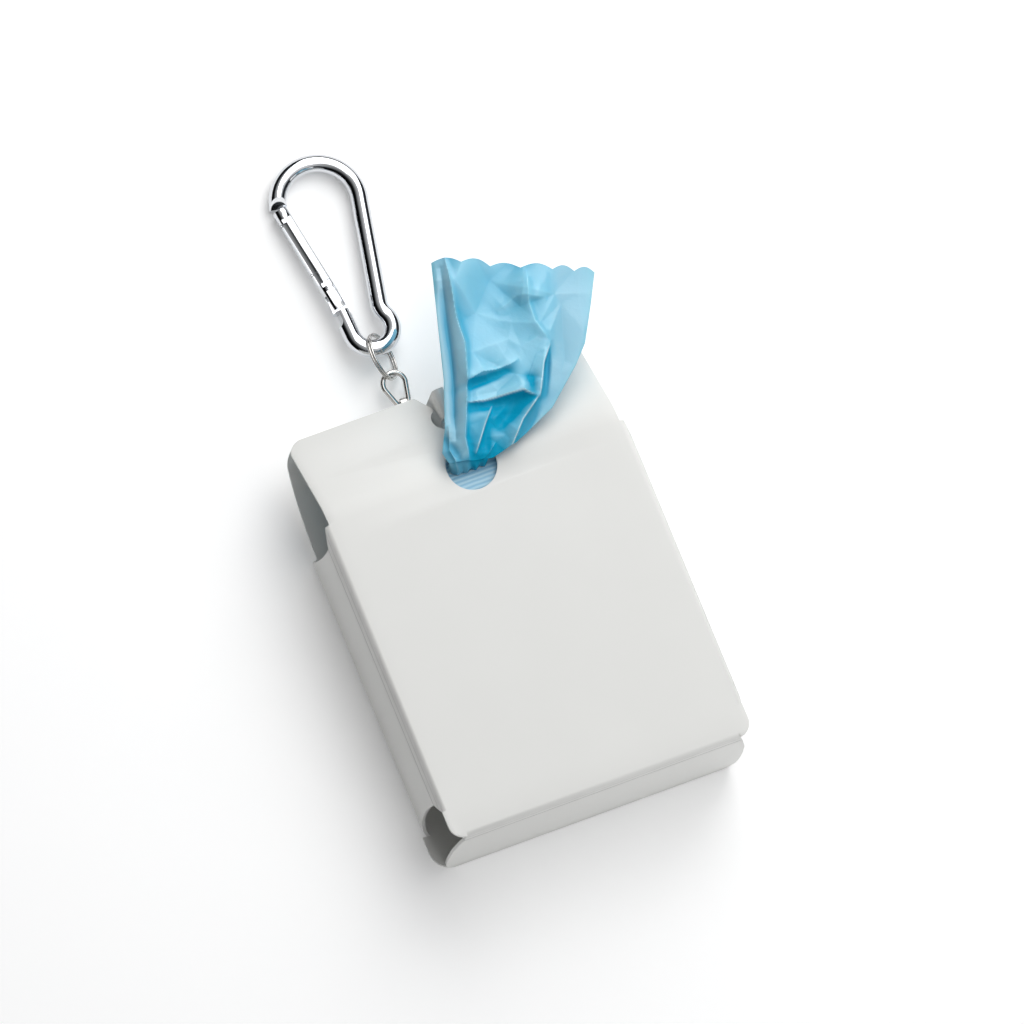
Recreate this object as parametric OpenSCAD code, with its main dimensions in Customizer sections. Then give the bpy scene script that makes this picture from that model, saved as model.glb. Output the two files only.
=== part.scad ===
// Bag dispenser: a folded polypropylene pouch lying on its back, with a bag
// roll inside, a closing strap, a link chain and a snap carabiner.
// +X to the right, +Y up the pouch, +Z out of the front. The origin is the
// centre of the back's flat outer face. All sizes are in millimetres.

/* [Pouch] */
// Width of the pouch
pouch_w = 75; // [66:1:90]
// Height of the walled part, from the bottom to the line where the flaps begin
pouch_h = 80; // [70:1:100]
// Depth from the back's outer face to the front's outer face
pouch_d = 28; // [28:0.5:36]
// Thickness of the plastic sheet
sheet_t = 0.8; // [0.6:0.1:1]
// Corner radius at the bottom of the front and back
corner_r = 3.5; // [2:0.5:6]
// How far each side wall swells outwards at mid depth
wall_bow = 1.2; // [0.6:0.1:2]
// Height of the open corners between the side walls and the bottom wall
corner_open = 8.5; // [5:0.5:12]
// Set-back of the bottom wall's rounded ends from the sides
bottom_inset = 2.5; // [2:0.5:5]
// Width of the lap that closes the sleeve inside the back
lap_w = 9; // [6:0.5:12]

/* [Flaps] */
// Height of the two flaps above the side walls
flap_h = 24; // [22:0.5:28]
// Set-back of the flaps' sides from the pouch's sides
flap_inset = 1.1; // [0.8:0.1:2]
// Corner radius at the top of the flaps
flap_corner_r = 4; // [2:0.5:8]
// Lean of the front flap towards the back, in degrees
flap_lean = 29; // [26:0.5:31]
// Radius of the bend between the front panel and its flap
flap_bend_r = 12; // [8:0.5:14]
// Radius to which the back curls forward above the side walls
back_curl_r = 30; // [29.5:0.5:34]
// Gap at the living hinge between the front panel and the flap
hinge_gap = 0.3; // [0.2:0.05:0.5]

/* [Closure] */
// Distance of the keyhole's centre below the top edge
keyhole_drop = 7.7; // [7:0.1:8.5]
// Radius of the keyhole
keyhole_r = 3.15; // [2.9:0.05:3.5]
// Half width of the throat above the keyhole
throat_half = 1.65; // [1.5:0.05:2]
// Half width of the notch's mouth at the top edge
mouth_half = 4.5; // [3.5:0.25:6]
// Height of the straight throat's upper end below the top edge
throat_drop = 4; // [3:0.25:4.25]
// Thickness of the closing strap
strap_t = 0.8; // [0.6:0.05:1]
// Length of the strap's flat tail that the clip holds
strap_tail = 3.2; // [3:0.1:4]

/* [Thumb hole] */
// Radius of the hole that the bags are drawn through
hole_r = 6; // [5.5:0.25:7]
// Height of the hole's centre above the line where the flaps begin
hole_rise = 2; // [1:0.25:3]

/* [Bag roll] */
// Room between the roll and the front
roll_slack = 0.9; // [0.8:0.1:5]
// Length of the roll
roll_len = 60; // [50:1:64]
// Outer radius of the roll's card core
core_r = 6.5; // [5:0.25:8]
// Wall of the card core
core_wall = 0.7; // [0.5:0.1:1]
// Height of the roll's axis below the line where the flaps begin
roll_drop = 2; // [1:0.5:30]
// Gap between the roll and the lap it lies on
roll_gap = 0.3; // [0.2:0.05:0.5]

/* [Leading bag] */
// Width of the gathered neck in the thumb hole
neck_w = 9; // [7:0.25:9.5]
// Thickness of the gathered neck
neck_t = 3; // [2:0.25:3.25]
// Thickness of the loose film in front of the pouch
bag_t = 6; // [4:0.5:8]
// Length of the loose film from the hole to its top corner
bag_len = 48.5; // [40:0.5:55]

/* [Clip and links] */
// Sheet thickness of the metal clip
clip_t = 0.6; // [0.5:0.05:0.7]
// Width of the metal clip's leaves
clip_w = 2.6; // [2.2:0.1:2.6]
// Width of the clip's eye, between the pear link's legs
clip_eye_w = 1.4; // [1.2:0.1:1.5]
// Radius of the links' wire
link_wire_r = 0.65; // [0.55:0.05:0.7]
// Radius of the pear link's round end, at the wire's centre
pear_r = 2.7; // [2.6:0.1:3]
// Length of the pear link between the wire's centres
pear_len = 7.8; // [7.5:0.1:10]
// Half length of the pear link's straight bar
pear_bar_half = 0.75; // [0.7:0.05:1.2]
// Radius of the pear link's bar corners, at the wire's centre
pear_corner_r = 0.8; // [0.8:0.05:1]
// Radius of the split ring at the middle of its wire
ring_r = 5.7; // [5.5:0.1:6]
// Wire radius of one turn of the split ring
ring_turn_r = 0.34; // [0.3:0.02:0.36]
// Gap between the pear link and the split ring where they pull on one another
link_gap = 0.45; // [0.4:0.05:0.6]
// Gap between the split ring and the carabiner's bulb where they pull on one another
bulb_gap = 0.9; // [0.8:0.05:1.2]

/* [Carabiner] */
// Radius of the carabiner's wire
wire_r = 2.1; // [1.8:0.1:2.2]
// Radius of the big upper arch, at the wire's centre
arch_r = 9.6; // [8.5:0.1:10]
// Radius of the small lower bulb, at the wire's centre
bulb_r = 4.9; // [4.7:0.1:5.5]
// Distance between the centres of arch and bulb along the carabiner
arch_rise = 33.1; // [31:0.1:36]
// Radius of the hollow between the long side and the bulb
neck_r = 5; // [4:0.25:6]
// Radius of the gate's bar
gate_r = 1.9; // [1.6:0.05:1.9]
// Radius of the gate's pin
pin_r = 0.75; // [0.6:0.05:0.8]
// Running gap around the pin in the gate's ears
pin_gap = 0.05; // [0.02:0.01:0.1]

/* [Hidden] */
$fn = 96;
far = 200;
nip = 0.01;
wire_lap = 0.05;

half_w = pouch_w / 2;
bottom_y = -pouch_h / 2;
fold_y = pouch_h / 2;
top_y = fold_y + flap_h;
keyhole_y = top_y - keyhole_drop;
hole_y = fold_y + hole_rise;

// Bends of the back and the front flap, seen from the side
arc_steps = 12;
function arc_points(centre, r, from, to) =
    [for (i = [0:arc_steps]) centre + r * [cos(from + (to - from) * i / arc_steps),
                                           sin(from + (to - from) * i / arc_steps)]];
back_turn = asin(flap_h / (back_curl_r - sheet_t)) + 1;
flap_bend_c = [fold_y, pouch_d - flap_bend_r];
flap_out = [sin(flap_lean), cos(flap_lean)];
flap_along = [cos(flap_lean), -sin(flap_lean)];

// Bag roll, lying on the lap inside the back
roll_r = (pouch_d - 3 * sheet_t - roll_gap - roll_slack) / 2;
roll_y = fold_y - roll_drop;
roll_z = 2 * sheet_t + roll_gap + roll_r;

// Closing strap: an upright blade through both keyholes, with a flat tail behind
// and a curled lip in front
blade_left = -1.2;
tail_z = 3.2;
strap_bend_r = 0.8;
lip_z = pouch_d - 5;
lip_reach = 1;
strap_top_y = top_y - 1.5;
tail_gap = 1;
tail_low_y = fold_y + sqrt(pow(back_curl_r, 2)
                           - pow(back_curl_r - tail_z - strap_t - tail_gap, 2));
blade_low_y = keyhole_y - keyhole_r + 1.05;
lip_low_y = keyhole_y - keyhole_r + 2.35;

// Chain: clip eye, pear link, split ring, carabiner
chain_x = -4.1;
clip_low_y = tail_low_y + 1.4;
eye_y = top_y + 2.6;
eye_z = tail_z + strap_t / 2;
eye_gap = 0.15;
eye_in = link_wire_r + eye_gap;
eye_out = eye_in + clip_t;
rivet_r = 0.6;
rivet_head_r = 1;
rivet_head_t = 0.35;
rivet_y = clip_low_y + 1.7;
pear_pitch = 9;
pear_yaw = 5;
pear_top_x = chain_x - pear_len * cos(pear_pitch) * sin(pear_yaw);
pear_top_y = eye_y + pear_len * cos(pear_pitch) * cos(pear_yaw);
pear_top_z = eye_z + pear_len * sin(pear_pitch);
ring_lean = 58;
ring_y = pear_top_y - link_wire_r - link_gap - ring_turn_r + ring_r;
ring_z = pear_top_z;
bulb_wire_y = ring_y + ring_r - ring_turn_r - bulb_gap - wire_r;
bulb_wire_z = ring_z;

// Carabiner, in its own frame: the origin is the wire's centre at the bulb's end
snap_pitch = -3;
snap_yaw = -2;
bulb_c = [0, bulb_r];
arch_c = [-0.9, bulb_r + arch_rise];
side_angle = 10.2;
side_top = arch_c + arch_r * [cos(side_angle), -sin(side_angle)];
side_dir = [-sin(side_angle), -cos(side_angle)];
side_normal = [cos(side_angle), -sin(side_angle)];
// Where the straight side meets the hollow that is tangent to it and to the bulb
hollow_start = side_top + neck_r * side_normal - bulb_c;
hollow_along = -hollow_start * side_dir
    - sqrt(pow(hollow_start * side_dir, 2) - hollow_start * hollow_start
           + pow(neck_r + bulb_r, 2));
side_end = side_top + hollow_along * side_dir;
hollow_c = side_end + neck_r * side_normal;
hollow_turn = atan2(hollow_c[1] - bulb_c[1], hollow_c[0] - bulb_c[0]);
pivot = [-5.5, 13.2];
nose_turn = 172;
nose_tip = arch_c + arch_r * [cos(nose_turn), sin(nose_turn)];
gate_turn = atan2(nose_tip[1] - pivot[1], nose_tip[0] - pivot[0]);
gate_len = norm(nose_tip - pivot) - 0.6;
nose_gap = 0.35;
ear_r = 2;
tang_half = 0.9;
tang_gap = 0.2;
tang_reach = 2.3;
fork_len = 2.5;
stub_far = norm(pivot - bulb_c);
stub_swing = asin(bulb_r / stub_far);
stub_dir_turn = atan2(bulb_c[1] - pivot[1], bulb_c[0] - pivot[0]) - stub_swing;
stub_len = sqrt(stub_far * stub_far - bulb_r * bulb_r);
stub_dir = [cos(stub_dir_turn), sin(stub_dir_turn)];
stub_foot = pivot + stub_len * stub_dir;
pinch_from = 2.4;
pinch_to = 4.6;
pinch_deep = 1.3;
nose_slope = 45;
nose_slope_len = 2.3;
bore_r = 0.7;
plunger_len = 2;
spring_len = 4.5;
bore_len = plunger_len + spring_len + 0.4;

// Leading bag, in the plane of the front with its corner points as shares of its length
bag_z = pouch_d + 0.8;
neck_low_y = hole_y + 0.3;
neck_z = roll_z + sqrt(roll_r * roll_r - pow(neck_low_y - roll_y, 2)) + roll_gap;
bag_outline = bag_len * [[-0.11, 0.005], [-0.005, 0.35], [0.215, 1], [0.93, 0.69],
                         [0.81, 0.43], [0.71, 0.3], [0.48, 0.08], [0.12, -0.015]];

// A plate in the XY plane with two corner radii below and two above
module plate_outline(low, high, r_low, r_high, half = half_w) {
    difference() {
        translate([-half, low]) square([2 * half, high - low]);
        for (side = [-1, 1]) {
            translate([side * half, low]) corner_bite(-side, 1, r_low);
            translate([side * half, high]) corner_bite(-side, -1, r_high);
        }
    }
}

// What is cut from a square corner to round it
module corner_bite(x_sign, y_sign, r) {
    if (r > 0)
        difference() {
            translate([min(0, x_sign * r) - nip, min(0, y_sign * r) - nip])
                square(r + 2 * nip);
            translate([x_sign * r, y_sign * r]) circle(r);
        }
}

// Turns a profile drawn in Y and Z into a strip that runs along X
module along_x(length) {
    rotate([90, 0, 90]) translate([0, 0, -length / 2]) linear_extrude(length) children();
}

// Turns a profile drawn in X and Z into a strip that runs up Y
module along_y(low, high) {
    translate([0, high, 0]) rotate([90, 0, 0]) linear_extrude(high - low) children();
}

// Notch, throat and keyhole through both flaps
module slot_cut() {
    linear_extrude(far) {
        translate([0, keyhole_y]) circle(keyhole_r);
        translate([-throat_half, keyhole_y]) square([2 * throat_half, keyhole_drop]);
        polygon([[-throat_half, top_y - throat_drop], [throat_half, top_y - throat_drop],
                 [mouth_half, top_y + nip], [-mouth_half, top_y + nip]]);
    }
}

module thumb_hole() {
    translate([0, hole_y, roll_z]) cylinder(r = hole_r, h = far);
}

// Back, flat up to the side walls' ends and curled forward above them
module back_panel() {
    color("gainsboro") difference() {
        intersection() {
            along_x(pouch_w) polygon(concat(
                [[bottom_y, sheet_t], [bottom_y, 0]],
                arc_points([fold_y, back_curl_r], back_curl_r, -90, back_turn - 90),
                arc_points([fold_y, back_curl_r], back_curl_r - sheet_t,
                           back_turn - 90, -90)));
            translate([0, 0, -1]) linear_extrude(far) {
                plate_outline(bottom_y, fold_y, corner_r, 0);
                plate_outline(fold_y - nip, top_y, 0, flap_corner_r, half_w - flap_inset);
            }
        }
        translate([0, 0, -1]) slot_cut();
    }
}

module front_panel() {
    color("whitesmoke") difference() {
        translate([0, 0, pouch_d - sheet_t]) linear_extrude(sheet_t)
            plate_outline(bottom_y, fold_y - hinge_gap / 2, corner_r, 0);
        thumb_hole();
    }
}

// Front flap, bent over the bend radius and then straight to its top edge
module front_flap() {
    color("whitesmoke") difference() {
        intersection() {
            along_x(pouch_w) polygon(concat(
                arc_points(flap_bend_c, flap_bend_r, 90, 90 - flap_lean),
                [flap_bend_c + flap_bend_r * flap_out + 2 * flap_h * flap_along,
                 flap_bend_c + (flap_bend_r - sheet_t) * flap_out + 2 * flap_h * flap_along],
                arc_points(flap_bend_c, flap_bend_r - sheet_t, 90 - flap_lean, 90)));
            linear_extrude(far)
                plate_outline(fold_y + hinge_gap / 2, top_y, 0, flap_corner_r,
                              half_w - flap_inset);
        }
        slot_cut();
        thumb_hole();
    }
}

// One side wall, swelling outwards, hollowed at its upper and lower ends
module side_wall() {
    chord = pouch_d - 2 * sheet_t;
    bow_r = (chord * chord / 4 + wall_bow * wall_bow) / (2 * wall_bow);
    mouth_dip = 4;
    mouth_r = chord * 0.6;
    foot_dip = 2.5;
    foot_r = chord;
    difference() {
        intersection() {
            along_y(bottom_y + corner_open, fold_y)
                translate([half_w + wall_bow - bow_r, pouch_d / 2]) difference() {
                    circle(bow_r, $fn = 360);
                    circle(bow_r - sheet_t, $fn = 360);
                }
            translate([0, bottom_y, sheet_t]) cube([far, pouch_h, chord]);
        }
        translate([0, fold_y + mouth_r - mouth_dip, pouch_d / 2])
            rotate([0, 90, 0]) cylinder(r = mouth_r, h = far);
        translate([0, bottom_y + corner_open + foot_dip - foot_r, pouch_d / 2])
            rotate([0, 90, 0]) cylinder(r = foot_r, h = far);
    }
}

module left_wall() {
    color("gainsboro") mirror([1, 0, 0]) side_wall();
}

module right_wall() {
    color("gainsboro") side_wall();
}

module bottom_wall() {
    end_r = 6;
    half = half_w - bottom_inset;
    color("gainsboro") along_y(bottom_y, bottom_y + sheet_t) {
        translate([end_r - half, sheet_t])
            square([2 * half - 2 * end_r, pouch_d - 2 * sheet_t]);
        translate([-half, sheet_t + end_r])
            square([2 * half, pouch_d - 2 * sheet_t - 2 * end_r]);
        for (x = [end_r - half, half - end_r], z = [sheet_t + end_r, pouch_d - sheet_t - end_r])
            translate([x, z]) circle(end_r);
    }
}

// Lap that closes the folded sleeve, bonded inside the back along the right side
module sleeve_lap() {
    end_inset = 6;
    wall_gap = 0.1;
    color("gainsboro")
        translate([half_w - sheet_t - wall_gap - lap_w, bottom_y + end_inset, sheet_t])
        cube([lap_w, pouch_h - 2 * end_inset, sheet_t]);
}

// The strap's section: tail to the left, blade up through both slots, curled lip
module strap_section() {
    bend_out = strap_bend_r + strap_t;
    low_c = [blade_left - strap_bend_r, tail_z + bend_out];
    lip_c = [blade_left + bend_out, lip_z];
    translate([low_c[0] - strap_tail, tail_z]) square([strap_tail + nip, strap_t]);
    translate(low_c) intersection() {
        strap_ring(bend_out);
        translate([0, -bend_out]) square(bend_out);
    }
    translate([blade_left, low_c[1] - nip]) square([strap_t, lip_z - low_c[1] + 2 * nip]);
    translate(lip_c) intersection() {
        strap_ring(bend_out);
        translate([-bend_out, 0]) square(bend_out);
    }
    translate([lip_c[0] - nip, lip_z + strap_bend_r]) square([lip_reach + nip, strap_t]);
}

module strap_ring(outer) {
    difference() {
        circle(outer);
        circle(outer - strap_t);
    }
}

module closing_strap() {
    color("whitesmoke") difference() {
        along_y(blade_low_y, strap_top_y) strap_section();
        translate([-far / 2, 0, 0])
            cube([far, tail_low_y, tail_z + strap_t + strap_bend_r]);
        translate([-far / 2, 0, lip_z - 3]) cube([far, lip_low_y, far]);
        rivet_bore();
    }
}

module rivet_bore() {
    translate([chain_x, rivet_y, 0]) cylinder(r = rivet_r, h = 2 * eye_z);
}

// Folded metal clip: two leaves on the strap's tail and an eye round the pear link's bar
module strap_clip() {
    leaf_len = eye_y - clip_low_y;
    color("silver") difference() {
        translate([chain_x, 0, 0]) along_x(clip_w) difference() {
            union() {
                translate([eye_y, eye_z]) circle(eye_out);
                translate([clip_low_y, tail_z - clip_t]) square([leaf_len, clip_t]);
                translate([clip_low_y, tail_z + strap_t]) square([leaf_len, clip_t]);
            }
            translate([eye_y, eye_z]) circle(eye_in);
        }
        rivet_bore();
        shoulder_cut(1);
        shoulder_cut(-1);
    }
}

// Narrows the clip on one side from its leaves to its eye, past the link's corner
module shoulder_cut(side) {
    eye_half = clip_eye_w / 2;
    leaf_half = clip_w / 2 + 1;
    translate([chain_x, 0, -far / 2]) linear_extrude(far)
        polygon([[side * eye_half, far], [side * eye_half, eye_y - eye_out],
                 [side * leaf_half, eye_y - eye_out - 1.6], [side * leaf_half, far]]);
}

module clip_rivet() {
    grip = strap_t + 2 * clip_t;
    color("silver") translate([chain_x, rivet_y, tail_z - clip_t]) {
        cylinder(r = rivet_r, h = grip);
        translate([0, 0, -rivet_head_t]) cylinder(r = rivet_head_r, h = rivet_head_t);
        translate([0, 0, grip]) cylinder(r = rivet_head_r, h = rivet_head_t);
    }
}

// A round bar between two points of a plane. Neighbouring stretches of a wire lap
// into one another a little, and each step of slimness keeps their surfaces apart
module bar(from, to, r, slim = 1) {
    span = to - from;
    translate([from[0], from[1], 0]) rotate([0, 0, atan2(span[1], span[0])])
        rotate([0, 90, 0]) translate([0, 0, -wire_lap])
            cylinder(r = r - slim * nip, h = norm(span) + 2 * wire_lap);
}

// A bent round bar, in one stretch or, past 150 degrees, in three
module bend(centre, bend_r, r, from, to, slim = 0) {
    stretches = to - from > 150 ? 3 : 1;
    step = (to - from) / stretches;
    for (i = [0:stretches - 1]) {
        thin = slim + i % 2;
        lap = thin > 0 ? wire_lap / bend_r * 180 / PI : 0;
        translate([centre[0], centre[1], 0]) rotate([0, 0, from + i * step - lap])
            rotate_extrude(angle = step + 2 * lap)
                translate([bend_r, 0]) circle(r - thin * nip);
    }
}

// Pear link, with its bar in the clip's eye
module pear_link() {
    round_c = [0, pear_len - pear_r];
    corner_c = [pear_bar_half, pear_corner_r];
    span = round_c - corner_c;
    // Direction in which both arcs meet the straight leg
    leg = atan2(span[1], span[0]) - 90 - asin((pear_r - pear_corner_r) / norm(span));
    toe = corner_c + pear_corner_r * [cos(leg), sin(leg)];
    knee = round_c + pear_r * [cos(leg), sin(leg)];
    color("silver") translate([chain_x, eye_y, eye_z]) rotate([pear_pitch, 0, pear_yaw]) {
        bar([-pear_bar_half, 0], [pear_bar_half, 0], link_wire_r);
        bend(round_c, pear_r, link_wire_r, leg, 180 - leg);
        bar(toe, knee, link_wire_r);
        bar([-toe[0], toe[1]], [-knee[0], knee[1]], link_wire_r);
        bend(corner_c, pear_corner_r, link_wire_r, -90, leg);
        bend([-corner_c[0], corner_c[1]], pear_corner_r, link_wire_r, 180 - leg, 270);
    }
}

// Split ring: two turns of wire pressed together
module split_ring() {
    turn_step = ring_turn_r * 0.87;
    color("silver") translate([pear_top_x, ring_y, ring_z]) rotate([0, ring_lean, 0])
        rotate_extrude() for (side = [-1, 1])
            translate([ring_r, side * turn_step]) circle(ring_turn_r);
}

module snap_frame() {
    translate([pear_top_x, bulb_wire_y, bulb_wire_z]) rotate([snap_pitch, 0, snap_yaw]) children();
}

// Carabiner frame: arch, long side, hollow, bulb, stub with its tang, and nose
module carabiner_frame() {
    stub_end = pivot + tang_reach * stub_dir;
    bulb_from = stub_dir_turn - 90;
    color("silver") snap_frame() difference() {
        union() {
            difference() {
                bend(arch_c, arch_r, wire_r, -side_angle, nose_turn);
                nose_bite();
            }
            bar(side_top, side_end, wire_r);
            bend(hollow_c, neck_r, wire_r, 180 - side_angle, 180 + hollow_turn, slim = 2);
            bend(bulb_c, bulb_r, wire_r, bulb_from, hollow_turn);
            bar(stub_end, stub_foot, wire_r);
            tang();
        }
        translate([pivot[0], pivot[1], -wire_r]) cylinder(r = pin_r, h = 2 * wire_r);
        stub_pinch();
        nose_slope_cut();
    }
}

// Pressed hollow on the stub's outer side, below the hinge
module stub_pinch() {
    translate([pivot[0], pivot[1], -far / 2]) rotate([0, 0, stub_dir_turn])
        translate([pinch_from, -wire_r, 0]) {
            translate([0, -wire_r, 0]) cube([pinch_to - pinch_from, wire_r + pinch_deep, far]);
            translate([pinch_to - pinch_from, 0, 0]) cylinder(r = pinch_deep, h = far);
        }
}

// Sloping face on the front of the nose
module nose_slope_cut() {
    translate([nose_tip[0], nose_tip[1], 0]) rotate([0, 0, nose_turn + 90])
        translate([-nose_slope_len, -2 * wire_r, wire_r]) rotate([0, nose_slope, 0])
            cube(4 * wire_r);
}

// Clearance for the gate's tip, round the gate's pivot
module nose_bite() {
    intersection() {
        translate([pivot[0], pivot[1], -wire_r * 2])
            cylinder(r = gate_len + nose_gap, h = 4 * wire_r);
        translate([nose_tip[0] - 3 * wire_r, nose_tip[1] - 4 * wire_r, -wire_r * 2])
            cube([6 * wire_r, 6 * wire_r, 4 * wire_r]);
    }
}

// Flat end of the stub, which carries the pin between the gate's ears
module tang() {
    translate([pivot[0], pivot[1], -tang_half]) {
        cylinder(r = ear_r, h = 2 * tang_half);
        rotate([0, 0, stub_dir_turn]) translate([0, -ear_r, 0])
            cube([tang_reach + 1, 2 * ear_r, 2 * tang_half]);
    }
}

// Gate bar, with ears round the tang, a long groove and a bore for its spring
module gate_bar() {
    groove_w = 1;
    groove_deep = 0.75;
    groove_from = 5;
    groove_to = gate_len - 4;
    color("silver") snap_frame() translate([pivot[0], pivot[1], 0]) rotate([0, 0, gate_turn])
        difference() {
            union() {
                intersection() {
                    rotate([0, 90, 0]) cylinder(r = gate_r, h = gate_len + 1);
                    translate([0, 0, -far / 2]) cylinder(r = gate_len, h = far);
                }
                translate([0, 0, -gate_r]) cylinder(r = gate_r, h = 2 * gate_r);
            }
            translate([-far / 2, -far / 2, -tang_half - tang_gap])
                cube([far / 2 + fork_len, far, 2 * (tang_half + tang_gap)]);
            translate([0, 0, -far / 2]) cylinder(r = pin_r + pin_gap, h = far);
            rotate([0, 90, 0]) cylinder(r = bore_r, h = fork_len + bore_len);
            translate([groove_from, -groove_w / 2, gate_r - groove_deep])
                cube([groove_to - groove_from, groove_w, gate_r]);
        }
}

module gate_pin() {
    color("silver") snap_frame() translate([pivot[0], pivot[1], -gate_r])
        cylinder(r = pin_r, h = 2 * gate_r);
}

// Pushes the plunger against the round tang, hidden in the gate's bore
module gate_spring() {
    spring_out = bore_r - 0.05;
    spring_in = 0.35;
    color("gray") snap_frame() translate([pivot[0], pivot[1], 0]) rotate([0, 0, gate_turn])
        translate([fork_len + plunger_len, 0, 0]) rotate([0, 90, 0]) difference() {
            cylinder(r = spring_out, h = spring_len);
            translate([0, 0, -1]) cylinder(r = spring_in, h = spring_len + 2);
        }
}

module gate_plunger() {
    color("gray") snap_frame() translate([pivot[0], pivot[1], 0]) rotate([0, 0, gate_turn])
        translate([fork_len - 0.2, 0, 0]) rotate([0, 90, 0])
            cylinder(r = bore_r - 0.05, h = plunger_len + 0.2);
}

module roll_core() {
    color("tan") translate([0, roll_y, roll_z]) rotate([0, 90, 0]) difference() {
        cylinder(r = core_r, h = roll_len, center = true);
        cylinder(r = core_r - core_wall, h = roll_len + 2, center = true);
    }
}

module bag_roll() {
    color("lightblue") translate([0, roll_y, roll_z]) rotate([0, 90, 0]) difference() {
        cylinder(r = roll_r, h = roll_len, center = true);
        cylinder(r = core_r, h = roll_len + 2, center = true);
    }
}

// Leading bag: a gathered neck through the thumb hole and loose film in front
module leading_bag() {
    color("skyblue") {
        translate([-neck_w / 2, neck_low_y, neck_z])
            cube([neck_w, neck_t, bag_z - neck_z + 1]);
        translate([0, hole_y, bag_z]) linear_extrude(bag_t) polygon(bag_outline);
    }
}

back_panel();
front_panel();
front_flap();
left_wall();
right_wall();
bottom_wall();
sleeve_lap();
closing_strap();
strap_clip();
clip_rivet();
pear_link();
split_ring();
carabiner_frame();
gate_bar();
gate_pin();
gate_spring();
gate_plunger();
roll_core();
bag_roll();
leading_bag();
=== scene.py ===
# Bag dispenser: the looks of a folded plastic pouch with a roll of bags, a leading bag, a strap,
# a chain of links and a snap carabiner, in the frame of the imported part. Places and sizes that
# are written in mm are turned to metres where they are used.
import math
import random

import bmesh
import bpy
import numpy as np
from bpy.props import FloatProperty, PointerProperty, StringProperty
from mathutils import Matrix, Vector, noise
from mathutils.bvhtree import BVHTree
from mathutils.geometry import delaunay_2d_cdt


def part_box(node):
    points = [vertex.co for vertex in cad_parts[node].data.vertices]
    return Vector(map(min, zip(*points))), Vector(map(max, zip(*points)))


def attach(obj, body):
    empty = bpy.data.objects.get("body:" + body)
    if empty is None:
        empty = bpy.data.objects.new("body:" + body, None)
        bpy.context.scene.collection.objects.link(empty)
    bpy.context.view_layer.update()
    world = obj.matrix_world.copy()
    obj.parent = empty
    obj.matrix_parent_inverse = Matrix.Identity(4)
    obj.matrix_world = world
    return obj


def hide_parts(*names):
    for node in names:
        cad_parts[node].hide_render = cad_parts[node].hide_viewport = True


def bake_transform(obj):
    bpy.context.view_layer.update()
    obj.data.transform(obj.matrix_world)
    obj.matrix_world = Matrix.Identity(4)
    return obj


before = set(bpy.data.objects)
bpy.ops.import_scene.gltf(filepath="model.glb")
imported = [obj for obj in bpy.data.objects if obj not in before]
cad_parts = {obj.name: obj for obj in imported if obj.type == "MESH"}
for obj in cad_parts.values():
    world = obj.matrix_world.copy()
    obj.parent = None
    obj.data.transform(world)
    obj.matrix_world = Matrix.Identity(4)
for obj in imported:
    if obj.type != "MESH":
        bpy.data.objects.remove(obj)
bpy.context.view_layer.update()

bl_info = {
    "name": "Bag pouch",
    "version": (1, 0, 0),
    "blender": (4, 5, 0),
    "location": "3D View > Sidebar > Pouch",
    "description": "Builds the looks of a folded bag pouch round its packed frame",
    "category": "Object",
}

MM = 0.001

# Outlines that both sheets and their material share, in mm
FLAP_FROM, FLAP_TO = 40.0, 64.0  # line where both flaps begin, and their upper edge
FLAP_HALF, FLAP_CORNER = 36.4, 4.0  # half width and corner radius of both flaps
FRONT_LOW = -39.9  # lower edge of the front
WALL_FROM = 37.6  # the side walls lie farther out than this
ABOVE, BEYOND = 30, 40  # cuts end above the front and beyond both sides
NEAR = 0.1  # places this close count as one

# Painted shade along the score lines on the walls: height and darkness of each, and half its width
# in mm
SCORE_LINES, SCORE_HALF = ((25.1, 0.55), (26.6, 0.3)), 0.22


def node_mm(name):
    low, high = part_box(name)
    return [v / MM for v in low], [v / MM for v in high]


class PouchSizes(bpy.types.PropertyGroup):
    sheet: FloatProperty(
        name="Sheet", description="Thickness of the plastic sheet",
        default=0.0008, unit="LENGTH")
    depth: FloatProperty(
        name="Depth", description="Depth from the back's outer face to the front's outer face",
        default=0.028, unit="LENGTH")
    bend: FloatProperty(
        name="Bend", description="Outer radius of the folded edges",
        default=0.0012, unit="LENGTH")
    swell: FloatProperty(
        name="Swell", description="How far the side walls swell outwards",
        default=0.0004, unit="LENGTH")


class FilmSizes(bpy.types.PropertyGroup):
    fold_height: FloatProperty(
        name="Fold height", description="Height that the folds' own heights are multiplied by",
        default=0.001, unit="LENGTH")
    crumple: FloatProperty(
        name="Crumple", description="Height of the small creases in the film",
        default=0.0009, unit="LENGTH")


class FinishColours(bpy.types.PropertyGroup):
    sheet: StringProperty(name="Sheet", description="Polypropylene sheet", default="#E9E9E6")
    film: StringProperty(name="Film", description="Leading bag", default="#93D6EE")
    roll: StringProperty(name="Roll", description="Wound film", default="#B4DCEE")
    chrome: StringProperty(name="Chrome", description="Chrome plate", default="#DADCDF")
    nickel: StringProperty(name="Nickel", description="Nickel plate", default="#C9C7C4")


def mode(name):
    bpy.ops.object.mode_set(mode=name)


def clear_selection():
    if bpy.context.object and bpy.context.object.mode != "OBJECT":
        mode("OBJECT")
    bpy.ops.object.select_all(action="DESELECT")


def only(piece):
    clear_selection()
    piece.select_set(True)
    bpy.context.view_layer.objects.active = piece
    return piece


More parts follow.
